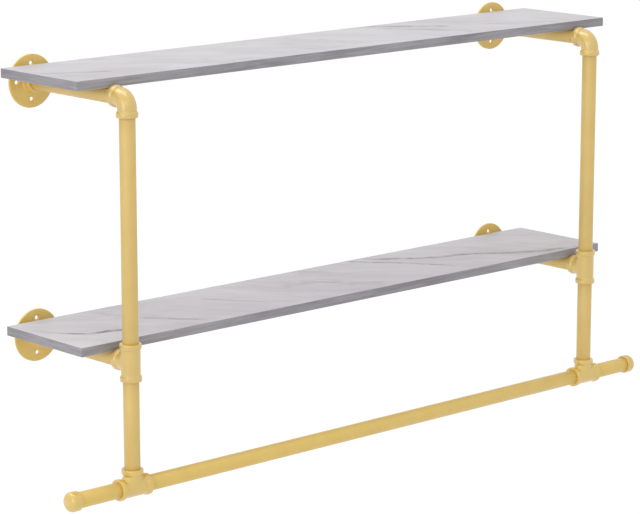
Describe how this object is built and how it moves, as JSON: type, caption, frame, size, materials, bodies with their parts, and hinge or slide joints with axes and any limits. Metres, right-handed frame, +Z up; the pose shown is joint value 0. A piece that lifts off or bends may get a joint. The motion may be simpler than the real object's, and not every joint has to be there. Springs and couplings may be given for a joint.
{
  "type": "pipe shelving unit",
  "caption": "Wall-mounted shelving unit: marble-look boards on a gold frame of threaded pipe, elbows, tees and floor flanges, with a capped hanging rail below.",
  "frame": {"origin": "on the wall plane, midway between the two posts and level with the axes of the upper arms", "axes": "+X runs to the right along the boards, +Y runs back into the wall, +Z is up"},
  "size_m": [1.3558, 0.2751, 0.7052],
  "materials": {
    "marble_board": "satin",
    "gold_pipe": "satin",
    "gold_casting": "satin",
    "zinc_screw": "satin"
  },
  "bodies": {
    "root": {"upper_board": "marble_board", "lower_board": "marble_board", "upper_left_flange": "gold_casting", "upper_left_arm": "gold_pipe", "upper_left_rear_screw": "zinc_screw", "upper_left_front_screw": "zinc_screw", "lower_left_flange": "gold_casting", "lower_left_arm": "gold_pipe", "lower_left_rear_screw": "zinc_screw", "lower_left_front_screw": "zinc_screw", "left_elbow": "gold_casting", "left_middle_tee": "gold_casting", "left_bottom_tee": "gold_casting", "left_upper_post": "gold_pipe", "left_lower_post": "gold_pipe", "left_rail_stub": "gold_pipe", "left_end_cap": "gold_casting", "upper_right_flange": "gold_casting", "upper_right_arm": "gold_pipe", "upper_right_rear_screw": "zinc_screw", "upper_right_front_screw": "zinc_screw", "lower_right_flange": "gold_casting", "lower_right_arm": "gold_pipe", "lower_right_rear_screw": "zinc_screw", "lower_right_front_screw": "zinc_screw", "right_elbow": "gold_casting", "right_middle_tee": "gold_casting", "right_bottom_tee": "gold_casting", "right_upper_post": "gold_pipe", "right_lower_post": "gold_pipe", "right_rail_stub": "gold_pipe", "right_end_cap": "gold_casting", "hanging_rail": "gold_pipe"}
  },
  "joints": []
}
